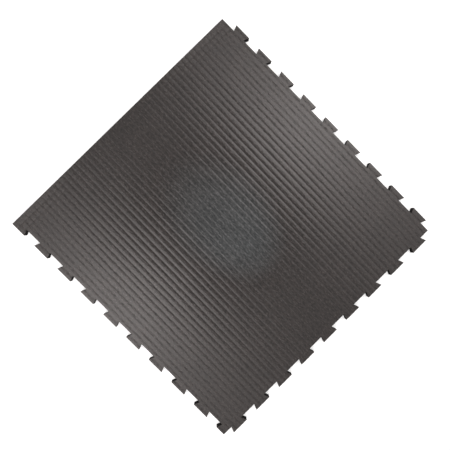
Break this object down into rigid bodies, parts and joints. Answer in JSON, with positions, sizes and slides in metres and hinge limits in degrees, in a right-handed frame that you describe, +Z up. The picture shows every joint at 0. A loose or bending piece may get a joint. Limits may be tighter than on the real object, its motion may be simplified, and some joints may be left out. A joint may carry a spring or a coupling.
{
  "type": "puzzle mat",
  "caption": "Square ribbed rubber floor mat with dovetail teeth along three edges and one straight edge.",
  "frame": {"origin": "middle of the bounding box on the underside, the plane the mat lies on", "axes": "+Z up out of the ribbed face, +X along the ribs from the straight edge to the opposite toothed edge, +Y across the ribs to the toothed edge that has nine whole teeth"},
  "size_m": [1.04, 1.02, 0.02],
  "materials": {
    "rubber": "satin black-grey moulded rubber, ribbed and lightly grained on the upper face"
  },
  "bodies": {
    "root": {"mat": "rubber"}
  },
  "joints": []
}
